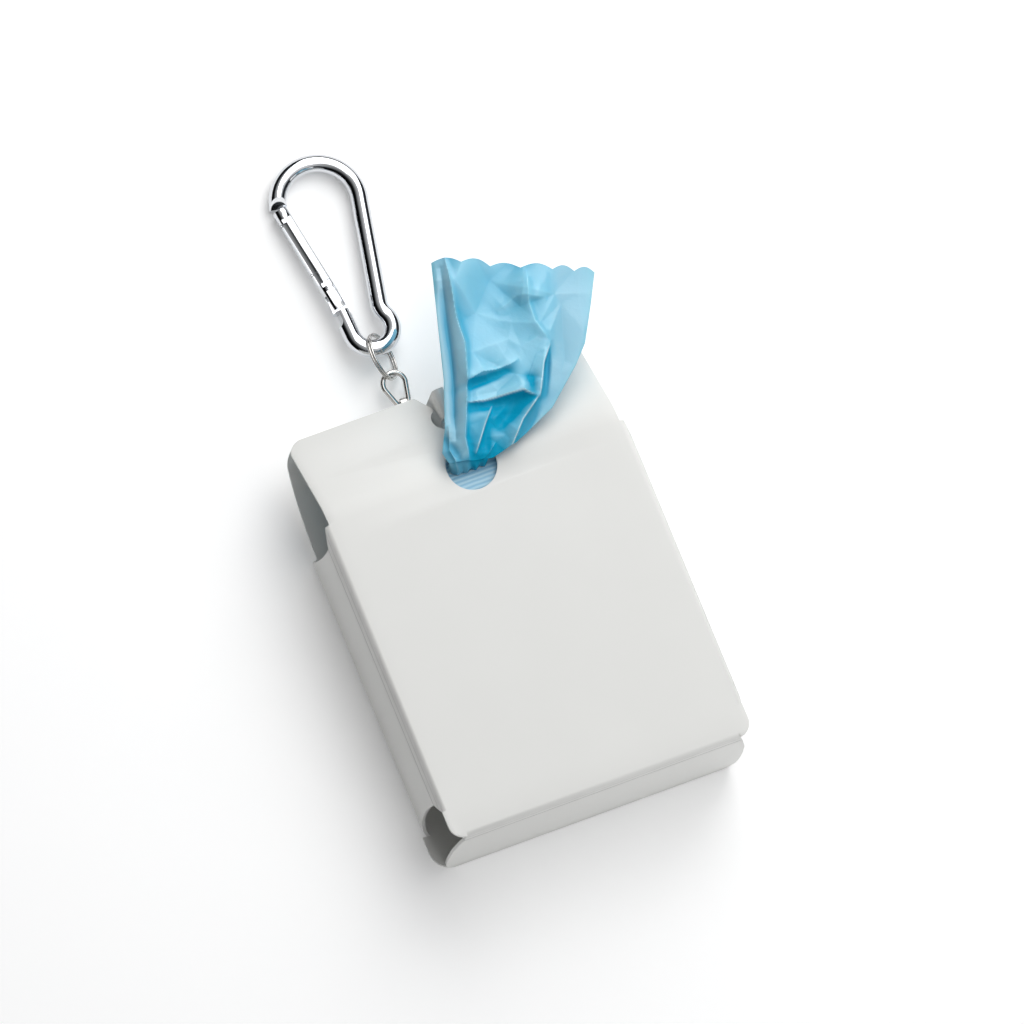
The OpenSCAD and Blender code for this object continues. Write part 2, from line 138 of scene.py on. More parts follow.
def pick(piece, kind, test):
    """In edit mode, selects the vertices, edges or faces whose middle passes the test, in mm."""
    bpy.ops.mesh.select_mode(type=kind)
    bpy.ops.mesh.select_all(action="DESELECT")
    shell = bmesh.from_edit_mesh(piece.data)
    if kind == "VERT":
        for v in shell.verts:
            v.select_set(test(v.co / MM))
    elif kind == "EDGE":
        for e in shell.edges:
            a, b = (v.co / MM for v in e.verts)
            if test((a + b) / 2, b - a):
                e.select_set(True)
    else:
        for f in shell.faces:
            if test(f.calc_center_median() / MM, f.normal):
                f.select_set(True)
    bmesh.update_edit_mesh(piece.data)


def arc(radius, turn, steps):
    """Places along an arc that starts level, as how far it goes and how far it drops."""
    turns = [turn * i / steps for i in range(steps + 1)]
    return [(radius * math.sin(t), radius - radius * math.cos(t)) for t in turns]


def pull_out(path, out):
    """Extrudes what is selected along a path of places in mm, given along out and upwards."""
    for a, b in zip(path, path[1:]):
        step = [way * (b[0] - a[0]) * MM for way in out]
        step[2] += (b[1] - a[1]) * MM
        bpy.ops.mesh.extrude_region_move(TRANSFORM_OT_translate={"value": step})


def cut_plane(place, normal):
    bpy.ops.mesh.select_all(action="SELECT")
    bpy.ops.mesh.bisect(plane_co=tuple(v * MM for v in place), plane_no=normal)


def with_modifier(piece, kind, **settings):
    only(piece)
    modifier = piece.modifiers.new(kind.title(), kind)
    for name, value in settings.items():
        setattr(modifier, name, value)
    bpy.ops.object.modifier_apply(modifier=modifier.name)


def cut_with(piece, cutter, operation="DIFFERENCE"):
    with_modifier(piece, "BOOLEAN", object=cutter, operation=operation, solver="EXACT")
    bpy.data.objects.remove(cutter, do_unlink=True)


def cut_keyhole(piece, low):
    """Cuts the closing strap's keyhole: a round hole, its throat and a flared notch."""
    y, radius, throat = 56.3, 3.15, 1.65
    notch_half, notch_low, notch_high = 4.5, 60, 64.6
    cut_with(piece, cylinder(radius, ABOVE - low, (0, y, (ABOVE + low) / 2)))
    cut_with(piece, block((-throat, y, low), (throat, FLAP_TO + 2, ABOVE)))
    notch = block((-notch_half, notch_low, low), (notch_half, notch_high, ABOVE))
    mode("EDIT")
    pick(notch, "VERT", lambda p: p.y < notch_low + 1)
    bpy.ops.transform.resize(value=(throat / notch_half, 1, 1))
    mode("OBJECT")
    cut_with(piece, notch)


def round_corners(piece, half, radius, centre, end, low):
    """Rounds the left and right corner of a sheet that ends before the line y = end."""
    for side in (-1, 1):
        near, far = sorted((side * (half - radius), side * BEYOND))
        bite = block((near, min(centre, end), low), (far, max(centre, end), ABOVE))
        cut_with(bite, cylinder(radius, 2 * ABOVE, (side * (half - radius), centre, ABOVE / 2)))
        cut_with(piece, bite)


def ease_edges(piece, width, angle):
    with_modifier(piece, "BEVEL", width=width * MM, segments=2, limit_method="ANGLE",
                  angle_limit=math.radians(angle))


def paint(piece, material):
    piece.data.materials.clear()
    piece.data.materials.append(material)


def settle(piece, name, material, angle=35):
    """Names and paints a piece, leaves its place in its mesh and smooths all but sharp edges."""
    only(piece)
    bpy.ops.object.transform_apply()
    piece.name = piece.data.name = name
    bpy.ops.object.shade_smooth_by_angle(angle=math.radians(angle))
    paint(piece, material)


def outwards(piece):
    only(piece)
    mode("EDIT")
    bpy.ops.mesh.select_all(action="SELECT")
    bpy.ops.mesh.remove_doubles(threshold=0.00001)
    bpy.ops.mesh.normals_make_consistent(inside=False)
    mode("OBJECT")


def cylinder(radius, length, place, turn=(0, 0, 0), vertices=64):
    clear_selection()
    bpy.ops.mesh.primitive_cylinder_add(
        vertices=vertices, radius=radius * MM, depth=length * MM,
        location=tuple(v * MM for v in place), rotation=turn)
    return only(bpy.context.object)


def block(low, high):
    clear_selection()
    bpy.ops.mesh.primitive_cube_add(size=1)
    piece = only(bpy.context.object)
    piece.scale = tuple((b - a) * MM for a, b in zip(low, high))
    piece.location = tuple((a + b) / 2 * MM for a, b in zip(low, high))
    bpy.ops.object.transform_apply()
    return piece


def linear(hex_colour):
    """An sRGB hex colour as linear RGBA."""
    digits = hex_colour.lstrip("#")
    channels = [int(digits[i:i + 2], 16) / 255 for i in (0, 2, 4)]
    return [c / 12.92 if c <= 0.04045 else ((c + 0.055) / 1.055) ** 2.4 for c in channels] + [1]


def add_node(tree, kind, settings=None, values=None, links=None):
    """Adds a shader node, sets its properties and unlinked sockets, and links the others."""
    node = tree.nodes.new("ShaderNode" + kind)
    for name, value in (settings or {}).items():
        setattr(node, name, value)
    for name, value in (values or {}).items():
        node.inputs[name].default_value = value
    for name, source in (links or {}).items():
        tree.links.new(source, node.inputs[name])
    return node


def finish(name):
    """Turns a function that adds nodes into one that gives the material of that name."""
    def named(fill):
        def material():
            made = bpy.data.materials.get(name)
            if not made:
                made = bpy.data.materials.new(name)
                made.use_nodes = True
                tree = made.node_tree
                tree.nodes.clear()
                surface = fill(tree, add_node(tree, "TexCoord").outputs["Object"])
                add_node(tree, "OutputMaterial", links={"Surface": surface.outputs["BSDF"]})
            return made
        return material
    return named


def painted_crease_shade(tree, place):
    """Painted shade: fine dark lines where the sheet is scored for its folds, on the walls only.
    """
    parts = add_node(tree, "SeparateXYZ", links={"Vector": place})
    # Each step: its name, what it does, and two inputs, each an earlier step or a number
    steps = [("aside", "ABSOLUTE", "X", 0.0), ("side", "GREATER_THAN", "aside", WALL_FROM * MM),
             ("foot", "LESS_THAN", "Y", FRONT_LOW * MM), ("wall", "MAXIMUM", "side", "foot"),
             ("below", "LESS_THAN", "Y", FLAP_FROM * MM), ("on", "MULTIPLY", "wall", "below")]
    for i, (height, dark) in enumerate(SCORE_LINES):
        steps += [(f"off{i}", "SUBTRACT", "Z", height * MM),
                  (f"gap{i}", "ABSOLUTE", f"off{i}", 0.0),
                  (f"share{i}", "DIVIDE", f"gap{i}", SCORE_HALF * MM),
                  (f"rest{i}", "SUBTRACT", 1.0, f"share{i}"),
                  (f"line{i}", "MAXIMUM", f"rest{i}", 0.0),
                  (f"tone{i}", "MULTIPLY", f"line{i}", dark)]
    steps += [("both", "ADD", "tone0", "tone1"), ("lines", "MULTIPLY", "both", "on")]
    made = {name: parts.outputs[name] for name in "XYZ"}
    for name, operation, *inputs in steps:
        step = add_node(tree, "Math", {"operation": operation},
                        {i: v for i, v in enumerate(inputs) if not isinstance(v, str)},
                        {i: made[v] for i, v in enumerate(inputs) if isinstance(v, str)})
        made[name] = step.outputs[0]
    return made["lines"]


@finish("extruded_polypropylene_satin")
def polypropylene_sheet(tree, place):
    """Extruded polypropylene sheet: white, satin, with a fine grain from the rollers, and painted
    shade in its score lines.
    """
    # Roller grain of 0.35 mm, drawn a little coarser than the real 0.1 mm so that it shows
    grain = add_node(tree, "TexNoise",
                     values={"Scale": 1 / 0.00035, "Detail": 3.0, "Roughness": 0.6},
                     links={"Vector": place})
    # Slow waves in the sheet, about 18 mm from crest to crest
    waves = add_node(tree, "TexNoise", values={"Scale": 1 / 0.018, "Detail": 1.0},
                     links={"Vector": place})
    tone = linear(bpy.context.scene.pouch_colours.sheet)
    dimmer, crease_shade_tone = ([c * share for c in tone[:3]] + [1] for share in (0.97, 0.4))
    shade = add_node(tree, "Mix", {"data_type": "RGBA"}, values={"A": dimmer, "B": tone},
                     links={"Factor": waves.outputs["Fac"]})
    # Painted shade in the score lines: the sheet's tone darkened to a 0.4 share along them
    crease_shade = add_node(tree, "Mix", {"data_type": "RGBA"}, values={"B": crease_shade_tone},
                      links={"Factor": painted_crease_shade(tree, place), "A": shade.outputs["Result"]})
    gloss = add_node(tree, "MapRange",
                     values={"From Min": 0.3, "From Max": 0.7, "To Min": 0.42, "To Max": 0.52},
                     links={"Value": grain.outputs["Fac"]})
    rollers = add_node(tree, "Bump", values={"Strength": 0.06, "Distance": 0.00003},
                       links={"Height": grain.outputs["Fac"]})
    bends = add_node(tree, "Bump", values={"Strength": 0.25, "Distance": 0.0004},
                     links={"Height": waves.outputs["Fac"], "Normal": rollers.outputs["Normal"]})
    return add_node(tree, "BsdfPrincipled",
                    values={"IOR": 1.49, "Subsurface Weight": 0.12,
                            "Subsurface Radius": (1.0, 1.0, 1.0), "Subsurface Scale": 0.0008},
                    links={"Base Color": crease_shade.outputs["Result"],
                           "Roughness": gloss.outputs["Result"],
                           "Normal": bends.outputs["Normal"]})


@finish("blown_polythene_film_blue")
def polythene_film(tree, place):
    """Blown polythene film: thin, tinted through and glossy, with painted highlights on its crests
    and painted shade in its folds, pockets and hollows.
    """
    # Crinkles about 1.4 mm apart, finer than the mesh's own folds
    crinkle = add_node(tree, "TexNoise",
                       values={"Scale": 1 / 0.0014, "Detail": 4.0, "Roughness": 0.55,
                               "Distortion": 0.6},
                       links={"Vector": place})
    depth = add_node(tree, "Attribute", {"attribute_name": "fold_tint_and_shade"})
    # The tint deepens where the film lies in several layers, and as painted shade on the folds'
    # dark sides, in the pockets, in the hollows and near the neck
    shade = add_node(tree, "Mix", {"data_type": "RGBA"},
                     values={"A": linear("#0A9CC2"),
                             "B": linear(bpy.context.scene.pouch_colours.film)},
                     links={"Factor": depth.outputs["Fac"]})
    # Doubled film is paler and greyer
    twice = add_node(tree, "Attribute", {"attribute_name": "fold_doubled"})
    pale = add_node(tree, "Mix", {"data_type": "RGBA"}, values={"B": linear("#98C4D6")},
                    links={"Factor": twice.outputs["Fac"], "A": shade.outputs["Result"]})
    # Painted highlight: the thin crests of sharp folds are drawn bright
    crest = add_node(tree, "Attribute", {"attribute_name": "painted_crest_highlight"})
    edge = add_node(tree, "Mix", {"data_type": "RGBA"}, values={"B": linear("#CBEAF4")},
                    links={"Factor": crest.outputs["Fac"], "A": pale.outputs["Result"]})
    # Where that shade is painted the film also mirrors little of the room
    mirror = add_node(tree, "MapRange",
                      values={"From Min": 0.1, "From Max": 0.8, "To Min": 0.05, "To Max": 0.5},
                      links={"Value": depth.outputs["Fac"]})
    small = add_node(tree, "Bump", values={"Strength": 0.16, "Distance": 0.0003},
                     links={"Height": crinkle.outputs["Fac"]})
    gloss = add_node(tree, "MapRange",
                     values={"From Min": 0.3, "From Max": 0.7, "To Min": 0.13, "To Max": 0.24},
                     links={"Value": crinkle.outputs["Fac"]})
    return add_node(tree, "BsdfPrincipled",
                    values={"IOR": 1.5, "Subsurface Weight": 0.2,
                            "Subsurface Radius": (0.4, 0.9, 1.0), "Subsurface Scale": 0.001},
                    links={"Base Color": edge.outputs["Result"],
                           "Specular IOR Level": mirror.outputs["Result"],
                           "Roughness": gloss.outputs["Result"],
                           "Normal": small.outputs["Normal"]})


@finish("wound_polythene_film_pale")
def wound_film(tree, place):
    """Folded polythene film wound in a roll: the layers' edges show as fine lines."""
    # Folded film shows a line along the roll every 1.1 mm; a wave of scale 1 turns through
    # 20 radians a metre
    turned = add_node(tree, "Mapping", values={"Rotation": (0.0, 0.0, math.pi / 2)},
                      links={"Vector": place})
    lines = add_node(tree, "TexWave",
                     {"wave_type": "BANDS", "bands_direction": "X", "wave_profile": "SIN"},
                     values={"Scale": 1 / 0.0011 / 20 * 2 * math.pi, "Distortion": 0.7,
                             "Detail": 2.0},
                     links={"Vector": turned.outputs["Vector"]})
    shade = add_node(tree, "Mix", {"data_type": "RGBA"},
                     values={"A": linear("#8FC3E0"),
                             "B": linear(bpy.context.scene.pouch_colours.roll)},
                     links={"Factor": lines.outputs["Fac"]})
    ridge = add_node(tree, "Bump", values={"Strength": 0.4, "Distance": 0.0002},
                     links={"Height": lines.outputs["Fac"]})
    return add_node(tree, "BsdfPrincipled", values={"IOR": 1.5, "Roughness": 0.4},
                    links={"Base Color": shade.outputs["Result"],
                           "Normal": ridge.outputs["Normal"]})


def plated_metal(tree, place, colour, rough_low, rough_high, spot):
    """A plated metal: mirror-like, with worn spots, in metres, that soften its reflections."""
    wear = add_node(tree, "TexNoise", values={"Scale": 1 / spot, "Detail": 3.0},
                    links={"Vector": place})
    gloss = add_node(tree, "MapRange",
                     values={"From Min": 0.35, "From Max": 0.75, "To Min": rough_low,
                             "To Max": rough_high},
                     links={"Value": wear.outputs["Fac"]})
    return add_node(tree, "BsdfPrincipled",
                    values={"Metallic": 1.0, "Base Color": linear(colour)},
                    links={"Roughness": gloss.outputs["Result"]})


@finish("chrome_plated_zinc")
def chrome_plate(tree, place):
    """Chrome on die-cast zinc: bright and hard, worn spots about 3 mm across."""
    return plated_metal(tree, place, bpy.context.scene.pouch_colours.chrome, 0.06, 0.14, 0.003)


@finish("nickel_plated_steel")
def nickel_plate(tree, place):
    """Nickel on steel wire: a little warmer and duller than chrome."""
    return plated_metal(tree, place, bpy.context.scene.pouch_colours.nickel, 0.12, 0.24, 0.0015)


@finish("drawn_spring_steel")
def drawn_wire(tree, place):
    """Drawn spring steel: grey, with a dull sheen."""
    return plated_metal(tree, place, "#8F8F92", 0.28, 0.4, 0.0008)


@finish("wound_grey_brown_card")
def wound_card(tree, place):
    """Spirally wound card: brown, matt, with short fibres."""
    # Fibres about 0.4 mm long
    fibre = add_node(tree, "TexNoise",
                     values={"Scale": 1 / 0.0004, "Detail": 5.0, "Roughness": 0.7},
                     links={"Vector": place})
    shade = add_node(tree, "Mix", {"data_type": "RGBA"},
                     values={"A": linear("#97806A"), "B": linear("#C0A88C")},
                     links={"Factor": fibre.outputs["Fac"]})
    bump = add_node(tree, "Bump", values={"Strength": 0.3, "Distance": 0.0001},
                    links={"Height": fibre.outputs["Fac"]})
    return add_node(tree, "BsdfPrincipled", values={"Roughness": 0.85},
                    links={"Base Color": shade.outputs["Result"],
                           "Normal": bump.outputs["Normal"]})


@finish("matt_white_table")
def floor_finish(tree, place):
    """Painted white table: matt, lit a little from within so that its far parts stay white."""
    return add_node(tree, "BsdfPrincipled",
                    values={"Base Color": linear("#FFFFFF"), "Roughness": 0.9,
                            "Emission Color": linear("#FFFFFF"), "Emission Strength": 0.15})


class POUCH_OT_sheet(bpy.types.Operator):
    """Folds the front, its flap, both side walls and the bottom wall from one sheet"""
    bl_idname = "pouch.sheet"
    bl_label = "Folded sheet"

    # Heights of the side wall's two ends over its depth: (z, upper end, lower end)
    WALL_ENDS = ((27.3, 39.9, -32.6), (25.2, 35.3, -29.8), (22.0, 35.2, -29.2),
                 (17.0, 35.6, -28.7), (12.0, 36.4, -28.5), (7.0, 37.4, -28.8),
                 (2.6, 38.6, -30.2), (0.6, 39.3, -31.2), (-1.0, 39.3, -31.4))
    # Half width of the bottom wall over its depth: (z, half width)
    FOOT_ENDS = ((27.3, 34.2), (25.6, 34.6), (23.0, 35.4), (17.0, 36.6), (9.0, 37.0),
                 (4.0, 36.6), (1.8, 35.6), (-1.0, 34.6))
    # Half width of the front, radius of its lower corners and the height that it lies above
    EDGE, CORNER, FRONT_Z = 37.5, 3.5, 27.9
    # Where the walls leave the front: lower end of the side walls, half the bottom wall
    WALL_LOW, FOOT_HALF = -32.6, 34.2
    # Outer face of the side walls from the middle, and of the bottom wall from its fold
    WALL_OUT, FOOT_OUT = 38.3, 1.35
    # A folded edge: turn in degrees, steps, and how much of its radius it reaches out
    FOLD_TURN, FOLD_STEPS, FOLD_SHARE = 70, 5, 0.94
    # From the fold to the wall: (share of the way out, z), then two fine creases, pressed in
    # a tenth of a millimetre: (place from the wall, z)
    SHOULDER, CREASE = ((0.5, 26.3), (0.9, 25.4)), ((-0.1, 25.2), (0.0, 25.0))
    # Heights of the wall's rows, and half the height over which it swells
    WALL_ROWS, SWELL_HALF = (23.0, 20.0, 17.0, 14.0, 11.0, 8.0, 5.0), 11
    # The flap's bend: steps, lean in degrees, radius, and rows from there to its edge
    FLAP_STEPS, FLAP_LEAN, FLAP_RADIUS, FLAP_ROWS = 12, 29, 12.0, (0.34, 0.67, 1.0)
    # Rows that keep the soft shading of the flap's bend off the flat front
    SHADE_ROWS = (34.6, 36.0)
    # Thumb hole: radius and height on the front
    THUMB_RADIUS, THUMB_Y = 6.0, 42

    def edge_path(self, outer, swell):
        """Path outwards and down round one folded edge, its wall and the lower edge, in mm."""
        sizes = bpy.context.scene.pouch_sizes
        depth, bend = sizes.depth / MM, sizes.bend / MM
        points = [(x, depth - drop)
                  for x, drop in arc(bend, math.radians(self.FOLD_TURN), self.FOLD_STEPS)]
        fold = points[-1][0]
        upper = [(fold + share * (outer - fold), z) for share, z in self.SHOULDER]
        upper += [(outer + inset, z) for inset, z in self.CREASE]
        wall = [(outer + swell * (1 - ((z - depth / 2) / self.SWELL_HALF) ** 2), z)
                for z in self.WALL_ROWS]
        lower = [(x, depth - z) for x, z in reversed(points + upper)]
        return points + upper + wall + lower

    def execute(self, context):
        sizes = context.scene.pouch_sizes
        top, bend = sizes.depth / MM, sizes.bend / MM
        inner = self.EDGE - bend * self.FOLD_SHARE
        low_inner = FRONT_LOW + bend * self.FOLD_SHARE
        height, middle = FLAP_FROM - FRONT_LOW, (FLAP_FROM + FRONT_LOW) / 2
        clear_selection()
        bpy.ops.mesh.primitive_plane_add(size=1)
        piece = only(context.object)
        mode("EDIT")
        bpy.ops.transform.resize(value=(2 * self.EDGE * MM, height * MM, 1))
        bpy.ops.transform.translate(value=(0, middle * MM, top * MM))
        pick(piece, "VERT", lambda p: p.y < 0)
        bpy.ops.mesh.bevel(offset=self.CORNER * MM, segments=8, affect="VERTICES")
        for x in (-inner, inner):
            cut_plane((x, 0, 0), (1, 0, 0))
        for y in (self.WALL_LOW, low_inner):
            cut_plane((0, y, 0), (0, 1, 0))
        for x in (-self.FOOT_HALF, self.FOOT_HALF):
            cut_plane((x, 0, 0), (1, 0, 0))
        pick(piece, "FACE", lambda p, n: abs(p.x) > inner and p.y > self.WALL_LOW
             or p.y < low_inner and abs(p.x) < self.FOOT_HALF)
        bpy.ops.mesh.delete(type="FACE")
        side_path = self.edge_path(self.WALL_OUT - inner, sizes.swell / MM)
        for side in (-1, 1):
            pick(piece, "EDGE", lambda p, d: abs(p.x - side * inner) < NEAR
                 and p.y > self.WALL_LOW)
            pull_out(side_path, (side, 0, 0))
        pick(piece, "EDGE", lambda p, d: abs(p.y - low_inner) < NEAR
             and abs(p.x) < self.FOOT_HALF)
        pull_out(self.edge_path(self.FOOT_OUT, 0.0), (0, -1, 0))
        self.shape_ends(piece, inner, low_inner)
        self.bend_flap(piece, top, inner)
        for y in self.SHADE_ROWS:
            pick(piece, "FACE", lambda p, n: abs(p.x) < inner and p.z > self.FRONT_Z
                 and self.WALL_LOW < p.y < FLAP_FROM)
            bpy.ops.mesh.bisect(plane_co=(0, y * MM, 0), plane_no=(0, 1, 0))
        mode("OBJECT")
        outwards(piece)
        with_modifier(piece, "SOLIDIFY", thickness=sizes.sheet, offset=-1.0,
                      use_even_offset=True, use_quality_normals=True)
        cut_with(piece, cylinder(self.THUMB_RADIUS, 8, (0, self.THUMB_Y, 27), vertices=96))
        cut_keyhole(piece, 10)
        round_corners(piece, FLAP_HALF, FLAP_CORNER, FLAP_TO - FLAP_CORNER, FLAP_TO + 2, 8)
        ease_edges(piece, 0.12, 50)
        settle(piece, "folded_sheet", polypropylene_sheet())
        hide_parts("front_panel", "front_flap", "left_wall", "right_wall", "bottom_wall")
        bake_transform(piece)
        return {"FINISHED"}

    def shape_ends(self, piece, inner, low_inner):
        """Moves the ends of the walls to their curved outlines."""
        shell = bmesh.from_edit_mesh(piece.data)
        z_wall, high, low = zip(*reversed(self.WALL_ENDS))
        z_foot, half = zip(*reversed(self.FOOT_ENDS))
        for v in shell.verts:
            p = v.co / MM
            if p.z > self.FRONT_Z:
                continue
            if abs(p.x) > inner + 0.01 and p.y > self.WALL_LOW - NEAR:
                if p.y > FLAP_FROM - NEAR:
                    v.co.y = float(np.interp(p.z, z_wall, high)) * MM
                elif p.y < self.WALL_LOW + NEAR:
                    v.co.y = float(np.interp(p.z, z_wall, low)) * MM
            elif p.y < low_inner - 0.01 and abs(p.x) > self.FOOT_HALF - NEAR:
                v.co.x = math.copysign(float(np.interp(p.z, z_foot, half)), p.x) * MM
        bmesh.update_edit_mesh(piece.data)

    def bend_flap(self, piece, top, inner):
        """Draws the flap out of the front and bends it back over its radius, in steps."""
        lean = math.radians(self.FLAP_LEAN)
        pick(piece, "EDGE", lambda p, d: p.y > FLAP_FROM - 0.01 and abs(p.x) < inner
             and p.z > self.FRONT_Z)
        points = [(FLAP_FROM + y, top - drop)
                  for y, drop in arc(self.FLAP_RADIUS, lean, self.FLAP_STEPS)]
        last = points[-1]
        rest = FLAP_TO - last[0]
        points += [(last[0] + share * rest, last[1] - share * rest * math.tan(lean))
                   for share in self.FLAP_ROWS]
        pull_out(points, (0, 1, 0))


class POUCH_OT_back(bpy.types.Operator):
    """Makes the back sheet, flat below and curled forward at its flap"""
    bl_idname = "pouch.back"
    bl_label = "Back sheet"

    # Half width and corner radius of the lower part, and where its wide tab ends, in mm
    HALF, CORNER, TAB_TOP = 38.4, 5.0, -31.0
    # The flap's curl forwards: radius in mm and steps
    CURL_RADIUS, CURL_STEPS = 30.0, 18

    def execute(self, context):
        sizes = context.scene.pouch_sizes
        clear_selection()
        bpy.ops.mesh.primitive_plane_add(size=1)
        piece = only(context.object)
        mode("EDIT")
        bpy.ops.transform.resize(value=(2 * self.HALF * MM, 2 * FLAP_FROM * MM, 1))
        for x in (-FLAP_HALF, FLAP_HALF):
            cut_plane((x, 0, 0), (1, 0, 0))
        cut_plane((0, self.TAB_TOP, 0), (0, 1, 0))
        pick(piece, "FACE", lambda p, n: abs(p.x) > FLAP_HALF and p.y > self.TAB_TOP)
        bpy.ops.mesh.delete(type="FACE")
        turn = math.asin((FLAP_TO - FLAP_FROM) / self.CURL_RADIUS)
        points = [(FLAP_FROM + y, rise)
                  for y, rise in arc(self.CURL_RADIUS, turn, self.CURL_STEPS)]
        pick(piece, "EDGE", lambda p, d: p.y > FLAP_FROM - 1)
        pull_out(points, (0, 1, 0))
        mode("OBJECT")
        outwards(piece)
        if piece.data.polygons[0].normal.z > 0:
            mode("EDIT")
            bpy.ops.mesh.select_all(action="SELECT")
            bpy.ops.mesh.flip_normals()
            mode("OBJECT")
        with_modifier(piece, "SOLIDIFY", thickness=sizes.sheet, offset=-1.0)
        cut_keyhole(piece, -10)
        round_corners(piece, FLAP_HALF, FLAP_CORNER, FLAP_TO - FLAP_CORNER, FLAP_TO + 2, -5)
        round_corners(piece, self.HALF, self.CORNER, self.CORNER - FLAP_FROM, -FLAP_FROM - 2, -5)
        ease_edges(piece, 0.12, 50)
        settle(piece, "back_sheet", polypropylene_sheet())
        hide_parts("back_panel")
        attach(piece, "pouch")
        return {"FINISHED"}


class POUCH_OT_film(bpy.types.Operator):
    """Lofts the leading bag from its gathered neck to its open end, with folds and creases"""
    bl_idname = "pouch.film"
    bl_label = "Leading bag"

    # Left and right edge of the loose film from the hole to its open end, in mm from the hole
    LEFT = ((-5.4, 1.4), (-6.0, 4.3), (-3.3, 9.4), (0.9, 20.4), (4.3, 32.5), (7.3, 42.7),
            (8.8, 47.6))
    RIGHT = ((4.9, -0.6), (11.1, 0.8), (22.3, 5.7), (31.2, 13.2), (35.2, 17.4), (40.2, 25.9),
             (43.9, 32.6))
    # Open end: six shallow scallops, as shares of the width
    SCALLOPS = (0.0, 0.175, 0.36, 0.545, 0.74, 0.875, 1.0)
    # Folds: line in mm from the hole, height, softness on its left and right, strength of the
    # painted shade on its dark side
    FOLDS = (
        (((12.0, 47.6), (9.1, 33.2), (8.6, 26.9), (5.9, 18.6), (3.3, 12.6), (0.1, 5.7),
          (-0.9, -0.6)), 1.9, 4.6, 0.45, 0.3),
        (((5.7, 18.2), (9.8, 18.9), (13.2, 18.4), (16.7, 18.4), (18.6, 18.9)),
         0.9, 2.6, 0.7, 0.75),
        (((4.0, 13.4), (7.6, 12.5), (12.6, 12.1), (17.2, 11.6), (19.5, 9.6)),
         1.3, 2.4, 0.4, 0.9),
        (((9.2, 10.9), (5.9, 7.3), (1.4, 1.6)), 1.2, 1.8, 0.3, 0.75),
        (((20.5, 9.4), (14.6, 5.3), (9.1, -0.4)), 1.5, 2.2, 0.4, 0.8),
        (((27.4, 20.0), (24.3, 16.3), (20.3, 8.9)), 1.2, 2.6, 0.4, 0.8),
        (((28.8, 38.0), (26.4, 31.3), (26.0, 26.1), (27.5, 20.4)), 1.1, 4.0, 1.0, 0.2),
        (((19.0, 31.6), (24.4, 33.3), (30.7, 30.5)), 0.7, 4.0, 1.2, 0.15),
        (((-2.4, 9.6), (-4.3, 4.1), (-3.9, 0.6)), 1.0, 0.5, 1.5, 0.4),
        (((10.2, 45.6), (7.4, 35.2), (5.4, 27.5), (2.9, 19.0), (0.2, 12.0), (-2.0, 6.0)),
         -1.3, 1.6, 1.2, 0.0),
        (((6.4, 2.2), (4.4, 0.6), (1.6, -0.6)), 0.8, 0.9, 0.4, 0.5),
    )
    # Pockets where the film sinks in and gets painted shade: x, y, half sizes, turn in degrees,
    # strength
    POCKETS = (
        (9.6, 17.0, 5.2, 1.1, 0, 1.0), (11.5, 10.6, 7.0, 1.5, -8, 1.0),
        (13.5, 8.2, 4.5, 1.6, 25, 0.7), (7.4, 44.0, 0.7, 6.0, -14, 0.45),
        (5.6, 30.0, 0.8, 9.0, -14, 0.5), (1.6, 16.0, 0.8, 8.0, -20, 0.45),
        (19.6, 12.4, 1.5, 2.6, -20, 0.9), (11.2, 7.2, 3.0, 1.5, 35, 0.8),
        (14.8, 2.9, 4.6, 0.7, 40, 0.9), (24.4, 14.3, 0.6, 4.6, -25, 0.9),
        (2.2, -0.2, 3.6, 1.0, -10, 0.9), (-3.6, 4.4, 1.0, 3.4, 10, 0.7),
        (4.4, 3.8, 1.5, 2.4, -30, 0.5),
    )
    # Columns and rows of each layer, and the share of the rows that is gathered neck
    ACROSS, ALONG, NECK = 200, 210, 0.10
    # Depth of the scallops in mm and the way they point
    SCALLOP_DEEP, SCALLOP_WAY = 1.2, (0.4, 0.9)
    # Folds with a painted highlight along their thin crest, by their order, its width, and that of
    # their painted dark side, in mm
    CREST_FOLDS, CREST_WIDE, DARK_WIDE = range(2, 6), 0.15, 1.5
    # A fold's taper: share of its length, height at its end, and fade beyond it in mm
    TAPER, TAPER_END, TAPER_FADE = 0.22, 0.35, 1.2
    # A line that rises less than this, in mm, is taken as drawn to the right
    LEVEL = 6
    # Painted shade of a pocket of strength 1, and its depth in mm
    POCKET_SHADE, POCKET_DEEP = 0.9, 1.1
    # How doubled the left band and the right part are, and how softly each begins, in mm
    LEFT_BAND, RIGHT_PART = (0.85, 0.25), (0.6, 0.6)
    # Ridge from which the right part lies doubled, in mm from the hole
    RIDGE_X = (9, 15.5, 21.2, 25.2, 28.2, 32.5, 35.5, 39)
    RIDGE_Y = (-2, 5.3, 9.2, 16.3, 20.0, 28.5, 37.3, 48)
    # Slow swell: its size across and along and its height, in mm
    SWELL_SIZE, SWELL_HIGH = (13, 17), 2.4
    # Heights in mm: where the film lies, and the lowest place, range and softness of its limits
    LIE, LOWEST, RANGE, SOFT = 30.4, 28.95, 5.8, 1.3
    # The neck in the hole, in mm: left side, width, middle, half depth, foot and rise
    NECK_LEFT, NECK_WIDE, NECK_Y, NECK_DEEP, NECK_Z, NECK_RISE = -5.1, 10.0, 43.1, 1.9, 26.0, 3.4
    HOLE_Y = 42
    # Crushed facets: seed, size at the hole and its growth in mm per mm, and the field they fill
    SEED, FACET, FACET_GROWTH = 11, 2.3, 0.12
    FIELD_X, FIELD_Y = (-16.0, 56), (-8.0, 60)
    MERGE = 1e-6

    def execute(self, context):
        clear_selection()
        bpy.ops.mesh.primitive_grid_add(x_subdivisions=2 * self.ACROSS,
                                        y_subdivisions=self.ALONG, size=1)
        piece = only(context.object)
        mesh = piece.data
        flat = np.empty(len(mesh.vertices) * 3)
        mesh.vertices.foreach_get("co", flat)
        flat = flat.reshape(-1, 3)
